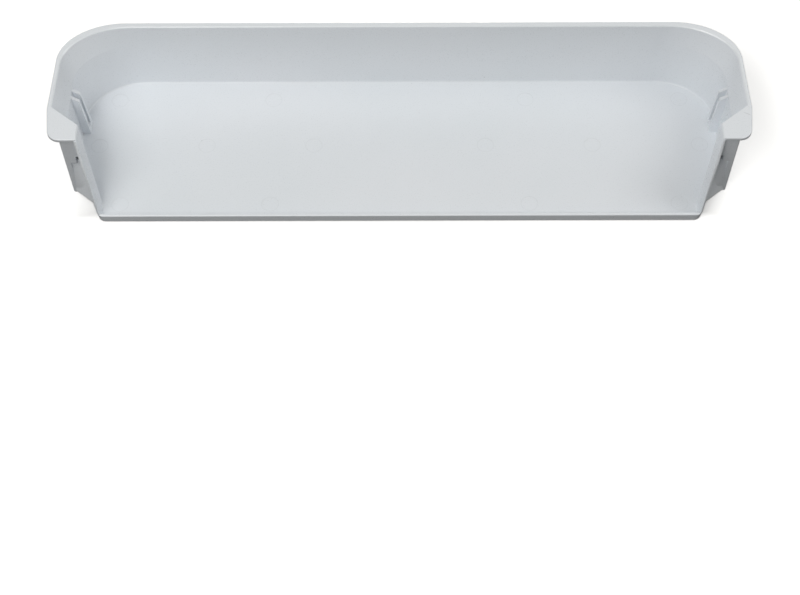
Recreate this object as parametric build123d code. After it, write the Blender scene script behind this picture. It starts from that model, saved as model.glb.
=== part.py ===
from build123d import *
import os
from math import radians, tan

# Door shelf of a refrigerator: one moulding of white polystyrene.
# The tray is open above and towards the door. X runs along the shelf, +Y points away from the
# door to the tall front wall, +Z is up, and the origin lies under the middle of the floor.

# Overall size in millimetres: along the door, door to front, and floor to rim
width = 492.8
depth = 130.0
height = 64.0

# Thickness of the moulding
wall = 2.4
floor_thickness = 2.6
rim_thickness = 2.6

# Rim: a flat band turned outwards, wider along the front than on the ends, which draw in forwards
end_rim_width = 2.9
front_rim_width = 4.2
rim_corner = (47.0, 35.0)
rim_draw_in = 1.8

# Inside of the tray: draft of each wall in degrees, and the front corners as ellipses
# The end walls stand steeply up to the flare and spread from there to the rim
end_draft = 3.0
end_flare = 7.7
flare_level = 44.6
front_draft = 1.7
cheek_draft = 9.6
mouth_corner = (48.5, 34.0)
floor_corner = (44.0, 39.0)

# Jog where each end narrows towards the door; its wall leans, so it starts further back below
jog_step = 19.9
jog_angle = 51.5
jog_mouth = 39.3
jog_floor = 13.2

# Wings: the rim widened into a flat pad over each jog
wing_setback = 25.7
wing_taper_start = 52.8
wing_taper = 3.0
wing_corner = 9.0

# Lip along the door side of the floor, and the rounding that turns it up into the edge of each cheek
lip_thickness = 2.6
lip_rise = 5.0
lip_corner = 5.0
cheek_edge = 2.0

# Hook under each wing: a guide web, a tab that hangs over a lug of the door, and a panel under the tab
web_thickness = 4.2
web_corner = 1.2
hook_inset = 0.8
tab_thickness = 2.4
tab_bottom = 35.9
tab_notch_height = 7.0
tab_foot_width = 4.0
panel_thickness = 2.0
panel_step = 0.7

# Sockets for the ends of a bottle rail: two ribs on each end wall, bridged at the foot of the slot,
# where the core that shaped the bridge has left a hole through the floor
socket_setback = 77.2
rib_thickness = 2.4
rib_slot = 4.3
rib_height = 42.0
rib_top_drop = 5.0
rib_reach = 5.9
rib_tip_reach = 5.3
rib_draft = 1.6
bridge_height = 4.6
bridge_thickness = 1.8

# Ejector marks in the floor: shallow round flats, in rows by their distance from the rear face,
# with the distance of each mark from the foot of the end wall
ejector_radius = 6.0
ejector_depth = 0.15
ejector_rows = {107.0: (24.6, 139.6), 65.2: (13.1, 92.1, 170.6), 13.5: (32.6, 140.4)}

# Rounded edges
floor_fillet = 1.2
underside_fillet = 1.6
rim_fillet = 0.8
mouth_bevel = 0.7
lip_fillet = 0.8

rear_y = -depth / 2
front_y = depth / 2
jog_lean = (jog_mouth - jog_floor) / (height - floor_thickness)
past = 10.0


def end_half(z):
    """Half length inside the wide part of the tray, at height z, where the jog ends."""
    flare_half = width / 2 - end_rim_width - end_flare
    if z > flare_level:
        return flare_half + end_flare * (z - flare_level) / (height - flare_level)
    return flare_half - (flare_level - z) * tan(radians(end_draft))


def draw_in(z):
    """How far the end wall closes in at height z between the jog and the front corner."""
    return rim_draw_in * max(0, z - flare_level) / (height - flare_level)


def cheek_half(z):
    """Half length inside the narrow part at the door, at height z."""
    return width / 2 - end_rim_width - jog_step - (height - z) * tan(radians(cheek_draft))


def plan_outline(z, grow, rear, rear_corner=0):
    """Plan section of the tray at height z, moved outwards by grow, closed and rounded at y = rear."""
    share = (z - floor_thickness) / (height - floor_thickness)
    corner_x = floor_corner[0] + share * (mouth_corner[0] - floor_corner[0]) + grow
    corner_y = floor_corner[1] + share * (mouth_corner[1] - floor_corner[1]) + grow
    narrow = cheek_half(z) + grow
    wide = end_half(z) + grow
    corner_half = wide - draw_in(z)
    front = front_y - front_rim_width - (height - z) * tan(radians(front_draft)) + grow
    jog_start = rear_y + jog_mouth - (height - z) * jog_lean - grow * tan(radians(jog_angle / 2))
    jog_end = jog_start + (wide - narrow) / tan(radians(jog_angle))
    with BuildSketch(Plane.XY.offset(z)) as section:
        with BuildLine():
            Polyline((0, rear), (narrow, rear), (narrow, jog_start), (wide, jog_end),
                     (corner_half, front - corner_y))
            EllipticalCenterArc((corner_half - corner_x, front - corner_y), corner_x, corner_y, arc_size=90)
            Line((corner_half - corner_x, front), (0, front))
            mirror(about=Plane.YZ)
        make_face()
        if rear_corner:
            fillet(section.vertices().group_by(Axis.Y)[0], rear_corner)
    return section.sketch


def both_ends(piece):
    """The piece and its mirror image at the other end of the shelf."""
    return piece + mirror(piece, about=Plane.YZ)


def outer_shell():
    """Solid of the tray's outside: its door side stands as high as the lip, then leans to the wings."""
    lip_top = floor_thickness + lip_rise
    lean = wing_setback / (height - lip_top)
    under_rim = height - rim_thickness / 2
    corners = {0: lip_corner, lip_top: lip_corner, flare_level: cheek_edge, under_rim: cheek_edge}
    sections = [plan_outline(z, wall, rear_y + max(0, z - lip_top) * lean, corner)
                for z, corner in corners.items()]
    body = loft(sections, ruled=True)
    return fillet(body.faces().sort_by(Axis.Z)[0].edges(), underside_fillet)


def tray_cavity():
    """The space inside, open to the door and above, with its foot rounded and its mouth bevelled."""
    rear = rear_y - past
    levels = (floor_thickness, flare_level, height)
    cavity = loft([plan_outline(z, 0, rear) for z in levels], ruled=True)
    foot = cavity.faces().sort_by(Axis.Z)[0].edges().filter_by(lambda edge: edge.center().Y > rear + past / 2)
    mouth_sections = [plan_outline(height - mouth_bevel, 0, rear), plan_outline(height, mouth_bevel, rear)]
    mouth = loft(mouth_sections, ruled=True)
    return fillet(foot, floor_fillet) + mouth + extrude(plan_outline(height, mouth_bevel, rear), past)


def rim_and_wings():
    """Flat rim round the tray, with a pad at each end; the cavity is cut out of it later."""
    half = width / 2
    corner_half = half - rim_draw_in
    wing_rear = rear_y + wing_setback
    side_end = front_y - rim_corner[1]
    with BuildSketch(Plane.XY.offset(height)) as outline:
        with BuildLine():
            FilletPolyline((0, wing_rear), (half - wing_taper, wing_rear), (half, rear_y + wing_taper_start),
                           (corner_half, side_end), radius=[wing_corner, 0])
            EllipticalCenterArc((corner_half - rim_corner[0], side_end), *rim_corner, arc_size=90)
            Line((corner_half - rim_corner[0], front_y), (0, front_y))
            mirror(about=Plane.YZ)
        make_face()
    plate = extrude(outline.sketch, -rim_thickness)
    return fillet(plate.faces().sort_by(Axis.Z)[-1].edges(), rim_fillet)


def hook():
    """Guide web, tab and panel under the wing at +X, reaching into the shell that is hollowed later."""
    web_outer = end_half(0) + wall
    web_inner = web_outer - web_thickness
    rear = rear_y + wing_setback + hook_inset
    under = height - rim_thickness / 2
    reach = jog_mouth - wing_setback
    with BuildSketch() as web_plan:
        with Locations((web_inner, rear)):
            Rectangle(web_thickness, reach, align=(Align.MIN, Align.MIN))
        outer_edge = web_plan.vertices().group_by(Axis.Y)[0].sort_by(Axis.X)[-1]
        fillet(outer_edge, web_corner)
    web = extrude(web_plan.sketch, under)
    with BuildSketch(Plane.XZ.offset(-rear)) as tab_face:
        with BuildLine():
            Polyline((cheek_half(under), under), (cheek_half(under), tab_bottom + tab_notch_height),
                     (web_inner - tab_foot_width, tab_bottom + tab_notch_height),
                     (web_inner - tab_foot_width, tab_bottom), (web_inner, tab_bottom), (web_inner, under),
                     close=True)
        make_face()
    tab = extrude(tab_face.sketch, -tab_thickness)
    panel_foot = rear - (web_inner - cheek_half(0)) / tan(radians(jog_angle))
    panel_head = rear + tab_thickness
    ends = ((0, panel_foot, rear), (tab_bottom, panel_head, rear))
    panel = loft([panel_section(z, at_cheek, at_web) for z, at_cheek, at_web in ends], ruled=True)
    return web + tab + Pos(0, panel_step, 0) * panel


def panel_section(z, at_cheek, at_web):
    """Plan section of the panel at height z, from the cheek at y = at_cheek to the web at y = at_web."""
    inner = cheek_half(z) + wall / 2
    outer = end_half(0) + wall - web_thickness / 2
    corners = [(inner, at_cheek), (outer, at_web), (outer, at_web + panel_thickness),
               (inner, at_cheek + panel_thickness)]
    return Plane.XY.offset(z) * make_face(Polyline(*corners, close=True).edges())


def lip():
    """Bar along the door side of the floor, cut to the outside of the tray, with its top edges rounded."""
    top = floor_thickness + lip_rise
    bar = Box(width, lip_thickness, top, align=(Align.CENTER, Align.MIN, Align.MIN))
    bar = fillet(bar.faces().sort_by(Axis.Z)[-1].edges().filter_by(Axis.X), lip_fillet)
    return Pos(0, rear_y, 0) * bar & outer_shell()


def rail_socket():
    """Two ribs on the end wall at +X, one drafted block with a slot and, behind its bridge, a core hole."""
    top = floor_thickness + rib_height
    tip = top - rib_top_drop
    root = floor_thickness / 2
    with BuildSketch(Plane.XZ.offset(-rear_y - socket_setback)) as side:
        with BuildLine():
            Polyline((end_half(root) + wall / 2, root), (end_half(root) - rib_reach, root),
                     (end_half(tip) - rib_tip_reach, tip), (end_half(top) + wall / 2, top), close=True)
        make_face()
    block = extrude(side.sketch, -(2 * rib_thickness + rib_slot))
    block = draft(block.faces().filter_by(Axis.Y), Plane.XY.offset(top), rib_draft)
    slot_middle = rear_y + socket_setback + rib_thickness + rib_slot / 2
    slot = Box(width, rib_slot, height, align=(Align.CENTER, Align.CENTER, Align.MIN))
    return block - Pos(0, slot_middle, floor_thickness + bridge_height) * slot


def core_hole():
    """What the core takes out of the floor and the socket at +X, between the end wall and the bridge."""
    inner = end_half(floor_thickness) - rib_reach + bridge_thickness
    outer = end_half(floor_thickness) - floor_fillet
    middle = rear_y + socket_setback + rib_thickness + rib_slot / 2
    deep = 2 * (floor_thickness + bridge_height + past)
    return Pos((inner + outer) / 2, middle, 0) * Box(outer - inner, rib_slot, deep)


def ejector_marks():
    """Round flats in the floor, in mirrored pairs."""
    flat = Cylinder(ejector_radius, 2 * ejector_depth)
    wall_foot = end_half(floor_thickness)
    places = [(wall_foot - inset, rear_y + setback) for setback, row in ejector_rows.items() for inset in row]
    return [Pos(side * x, y, floor_thickness) * flat for x, y in places for side in (-1, 1)]


shelf = outer_shell() + rim_and_wings() + both_ends(hook())
shelf = shelf - tray_cavity()
shelf = shelf + lip() + both_ends(rail_socket())
shelf = shelf - both_ends(core_hole())
shelf = shelf - ejector_marks()

os.makedirs("parts", exist_ok=True)
export_step(shelf, "parts/door_shelf.step")
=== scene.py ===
from math import radians

import bpy
from mathutils import Matrix, Vector

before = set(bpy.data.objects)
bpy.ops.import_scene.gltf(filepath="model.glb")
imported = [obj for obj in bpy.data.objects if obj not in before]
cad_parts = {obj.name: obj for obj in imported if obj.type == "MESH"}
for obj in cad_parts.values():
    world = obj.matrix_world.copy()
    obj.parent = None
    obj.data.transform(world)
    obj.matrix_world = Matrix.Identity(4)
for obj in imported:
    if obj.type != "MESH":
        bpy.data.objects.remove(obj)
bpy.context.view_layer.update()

scene = bpy.context.scene

# The shelf: one injection moulding of white high-impact polystyrene, 2.4 mm thick, ejected from
# a steel mould whose cavity was lightly spark-eroded, which leaves a satin skin.
# It hangs by its own hooks, so nothing is fixed to it.
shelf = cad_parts["door_shelf"]
floor_level = 0.0026
rim_level = 0.0640


def add_node(owner, kind, inputs=None, links=None, **settings):
    """Adds one node: settings are its properties, inputs its socket values, links its sockets' sources."""
    node = owner.node_tree.nodes.new(kind)
    for name, value in settings.items():
        setattr(node, name, value)
    for name, value in (inputs or {}).items():
        node.inputs[name].default_value = value
    for name, source in (links or {}).items():
        owner.node_tree.links.new(source, node.inputs[name])
    return node


def linear(hex_colour, alpha=1.0):
    """Turns an sRGB hex colour into linear light: the low end is a straight line, the rest a 2.4 power."""
    parts = [int(hex_colour[i:i + 2], 16) / 255 for i in (1, 3, 5)]
    return [c / 12.92 if c <= 0.04045 else ((c + 0.055) / 1.055) ** 2.4 for c in parts] + [alpha]


polystyrene = bpy.data.materials.new("moulded_high_impact_polystyrene")
polystyrene.use_nodes = True
polystyrene.node_tree.nodes.clear()
place = add_node(polystyrene, "ShaderNodeTexCoord").outputs["Object"]

# The melt runs lengthwise through the mould and sets in broad bands of tone, some 120 mm apart
# and barely visible, of an opaque, milky, slightly bluish white.
flow_band = 0.120
flow = add_node(polystyrene, "ShaderNodeTexNoise",
                {"Scale": 1 / flow_band, "Detail": 3.0, "Roughness": 0.5}, {"Vector": place})
tint = add_node(polystyrene, "ShaderNodeValToRGB", links={"Fac": flow.outputs["Fac"]})
for stop, position, colour in zip(tint.color_ramp.elements, (0.35, 0.65), ("#E7ECF1", "#EAEEF3")):
    stop.position = position
    stop.color = linear(colour)

# Use has left a hairline across the wing at +X, and dirt has settled in it. It is about 0.1 mm wide,
# drawn at 0.7 mm so that it shows.
hairline_middle = (0.2422, -0.0181, rim_level)
hairline_half = (0.0032, 0.00035, 0.0004)
hairline_turn = radians(-26.7)
worn_grey = linear("#85898C")


def box_distance(owner, source, middle, half, turn=0.0):
    """Distance from a box turned about Z: the largest of the three offsets, each in half sizes of the box."""
    offset = add_node(owner, "ShaderNodeMapping",
                      {"Location": middle, "Rotation": (0.0, 0.0, turn), "Scale": half},
                      {"Vector": source}, vector_type="TEXTURE")
    size = add_node(owner, "ShaderNodeVectorMath", links={0: offset.outputs["Vector"]}, operation="ABSOLUTE")
    axes = add_node(owner, "ShaderNodeSeparateXYZ", links={"Vector": size.outputs["Vector"]}).outputs
    level = add_node(owner, "ShaderNodeMath", links={0: axes["X"], 1: axes["Y"]}, operation="MAXIMUM")
    return add_node(owner, "ShaderNodeMath", links={0: level.outputs["Value"], 1: axes["Z"]},
                    operation="MAXIMUM").outputs["Value"]


scored = add_node(polystyrene, "ShaderNodeMapRange",
                  {"From Min": 0.4, "From Max": 1.0, "To Min": 0.3, "To Max": 0.0},
                  {"Value": box_distance(polystyrene, place, hairline_middle, hairline_half, hairline_turn)})
scratched = add_node(polystyrene, "ShaderNodeMix", {"B": worn_grey},
                     {"Factor": scored.outputs["Result"], "A": tint.outputs["Color"]}, data_type="RGBA")

# Specks of charred resin and grime come to the surface some 25 mm apart. Each is under 1 mm across
# and fades from its core to its edge.
speck_pitch = 0.025
speck_core = 0.0002
speck_edge = 0.0005
crumbs = add_node(polystyrene, "ShaderNodeTexVoronoi", {"Scale": 1 / speck_pitch}, {"Vector": place})
charred = add_node(polystyrene, "ShaderNodeMapRange",
                   {"From Min": speck_core / speck_pitch, "From Max": speck_edge / speck_pitch,
                    "To Min": 0.45, "To Max": 0.0}, {"Value": crumbs.outputs["Distance"]})
specked = add_node(polystyrene, "ShaderNodeMix", {"B": linear("#5A5C5E")},
                   {"Factor": charred.outputs["Result"], "A": scratched.outputs["Result"]}, data_type="RGBA")

# Each ejector pin has left a witness line round its 12 mm flat in the floor: about 0.05 mm wide, drawn at
# 0.7 mm so that it shows. The pins stand in rows across the floor and in mirrored pairs, so the distance
# from the nearest one is taken from (|x|, y), and the line from how far a point is off its circle.
pin_radius = 0.006
pin_rows = {0.0420: (0.2090, 0.0940), 0.0002: (0.2205, 0.1415, 0.0630), -0.0515: (0.2010, 0.0932)}
line_core = 0.00025
line_edge = 0.00045
where = add_node(polystyrene, "ShaderNodeSeparateXYZ", links={"Vector": place}).outputs
folded = add_node(polystyrene, "ShaderNodeMath", links={0: where["X"]}, operation="ABSOLUTE")
plan = add_node(polystyrene, "ShaderNodeCombineXYZ", links={"X": folded.outputs["Value"], "Y": where["Y"]})
nearest = None
for pin in [(x, y, 0.0) for y, row in pin_rows.items() for x in row]:
    gap = add_node(polystyrene, "ShaderNodeVectorMath", {1: pin}, {0: plan.outputs["Vector"]},
                   operation="DISTANCE").outputs["Value"]
    if nearest:
        gap = add_node(polystyrene, "ShaderNodeMath", links={0: nearest, 1: gap},
                       operation="MINIMUM").outputs["Value"]
    nearest = gap
off_circle = add_node(polystyrene, "ShaderNodeMath", {1: pin_radius}, {0: nearest}, operation="SUBTRACT")
off_floor = add_node(polystyrene, "ShaderNodeMath", {1: floor_level}, {0: where["Z"]}, operation="SUBTRACT")
off_both = add_node(polystyrene, "ShaderNodeCombineXYZ",
                    links={"X": off_circle.outputs["Value"], "Z": off_floor.outputs["Value"]})
off_line = add_node(polystyrene, "ShaderNodeVectorMath", links={0: off_both.outputs["Vector"]},
                    operation="LENGTH")
witness = add_node(polystyrene, "ShaderNodeMapRange",
                   {"From Min": line_core, "From Max": line_edge, "To Min": 0.06, "To Max": 0.0},
                   {"Value": off_line.outputs["Value"]})
marked = add_node(polystyrene, "ShaderNodeMix", {"B": worn_grey},
                  {"Factor": witness.outputs["Result"], "A": specked.outputs["Result"]}, data_type="RGBA")

# The skin: polystyrene has an IOR of 1.59, and the rubber in it dulls the gloss. The eroded mould gives
# a grain of about 0.3 mm, drawn at 0.9 mm so that it shows, in the gloss and as a faint relief.
grain_size = 0.0009
grain_depth = 0.0002
grain = add_node(polystyrene, "ShaderNodeTexNoise",
                 {"Scale": 1 / grain_size, "Detail": 2.0, "Roughness": 0.6}, {"Vector": place})
satin = add_node(polystyrene, "ShaderNodeMapRange",
                 {"From Min": 0.3, "From Max": 0.7, "To Min": 0.26, "To Max": 0.34},
                 {"Value": grain.outputs["Fac"]})
skin = add_node(polystyrene, "ShaderNodeBump", {"Strength": 0.06, "Distance": grain_depth},
                {"Height": grain.outputs["Fac"]})
plastic = add_node(polystyrene, "ShaderNodeBsdfPrincipled", {"IOR": 1.59, "Specular IOR Level": 0.5},
                   {"Base Color": marked.outputs["Result"], "Roughness": satin.outputs["Result"],
                    "Normal": skin.outputs["Normal"]})
add_node(polystyrene, "ShaderNodeOutputMaterial", links={"Surface": plastic.outputs["BSDF"]})
shelf.data.materials.clear()
shelf.data.materials.append(polystyrene)

# The floor under the shelf: a broad sheet of matt white paper on a light table, as in a small-goods
# Light comes through it all round the shelf. Under the shelf the glow is cut off: painted shade under the
# shelf, which shows dark through the shelf's openings.
# Black cards round the goods keep the paper's own light off them.
paper_half = 12.0
# Half sizes of the shelf's footprint, where the paper's glow is cut off as painted shade.
painted_shade_half = (0.236, 0.062, 1.0)
table_glow = 0.36
paper_mesh = bpy.data.meshes.new("paper_floor")
paper_mesh.from_pydata([(-paper_half, -paper_half, 0), (paper_half, -paper_half, 0),
                        (paper_half, paper_half, 0), (-paper_half, paper_half, 0)], [], [(0, 1, 2, 3)])
paper_floor = bpy.data.objects.new("paper_floor", paper_mesh)
scene.collection.objects.link(paper_floor)
paper_floor.visible_diffuse = False
paper_floor.visible_glossy = False
matt_paper = bpy.data.materials.new("matt_white_paper")
matt_paper.use_nodes = True
matt_paper.node_tree.nodes.clear()
spot = add_node(matt_paper, "ShaderNodeTexCoord").outputs["Object"]
# The glow fades to nothing inside the footprint: painted shade under the shelf.
glow_with_painted_shade = add_node(matt_paper, "ShaderNodeMapRange", {"From Min": 0.9, "From Max": 1.0, "To Max": table_glow},
                   {"Value": box_distance(matt_paper, spot, (0.0, 0.0, 0.0), painted_shade_half)})
sheet = add_node(matt_paper, "ShaderNodeBsdfPrincipled",
                 {"Base Color": linear("#FDFDFD"), "Roughness": 0.9, "Specular IOR Level": 0.1,
                  "Emission Color": linear("#FFFFFF")}, {"Emission Strength": glow_with_painted_shade.outputs["Result"]})
add_node(matt_paper, "ShaderNodeOutputMaterial", links={"Surface": sheet.outputs["BSDF"]})
paper_mesh.materials.append(matt_paper)

# Studio light: square soft boxes to the left, to the right, above the camera and low across the table,
# where the front wall's outside faces. Each looks at the shelf, and all are a faintly warm white.
lamp_white = linear("#FFFEFB")
for name, stand, side, watts in (("left_soft_box", (-0.90, -0.60, 1.60), 0.9, 9.3),
                                 ("right_soft_box", (1.40, 0.10, 1.40), 1.0, 9.4),
                                 ("camera_soft_box", (-0.45, -1.10, 1.50), 0.6, 8.2),
                                 ("front_soft_box", (0.0, 1.80, 0.20), 0.4, 9.0)):
    lamp = bpy.data.lights.new(name, "AREA")
    lamp.size = side
    lamp.energy = watts
    lamp.color = lamp_white[:3]
    soft_box = bpy.data.objects.new(name, lamp)
    soft_box.location = stand
    soft_box.rotation_euler = (-Vector(stand)).to_track_quat("-Z", "Y").to_euler()
    scene.collection.objects.link(soft_box)

# A tent of white cloth stands over the table and glows evenly down to the table's edge.
# Below that it is dark.
tent_glow = 0.28
tent = bpy.data.worlds.new("white_tent")
tent.use_nodes = True
tent.node_tree.nodes.clear()
toward = add_node(tent, "ShaderNodeTexCoord").outputs["Generated"]
height = add_node(tent, "ShaderNodeSeparateXYZ", links={"Vector": toward}).outputs["Z"]
above = add_node(tent, "ShaderNodeMapRange", {"From Min": -0.06, "From Max": -0.04, "To Max": tent_glow},
                 {"Value": height})
cloth = add_node(tent, "ShaderNodeBackground", {"Color": lamp_white}, {"Strength": above.outputs["Result"]})
add_node(tent, "ShaderNodeOutputWorld", links={"Surface": cloth.outputs["Background"]})
scene.world = tent
scene.view_settings.view_transform = "Standard"

# The camera looks down from the door side, level with the middle of the shelf and a hair off square.
# Its focal length and film width are in millimetres.
camera_place = (0.0, -0.69325, 0.9592)
camera_tilt = radians(30.5)
camera_roll = radians(-0.15)
lens = bpy.data.cameras.new("camera")
lens.lens = 72.0
lens.sensor_width = 36.0
camera = bpy.data.objects.new("camera", lens)
camera.matrix_world = (Matrix.Translation(camera_place) @ Matrix.Rotation(camera_tilt, 4, "X")
                       @ Matrix.Rotation(camera_roll, 4, "Z"))
scene.collection.objects.link(camera)
scene.camera = camera
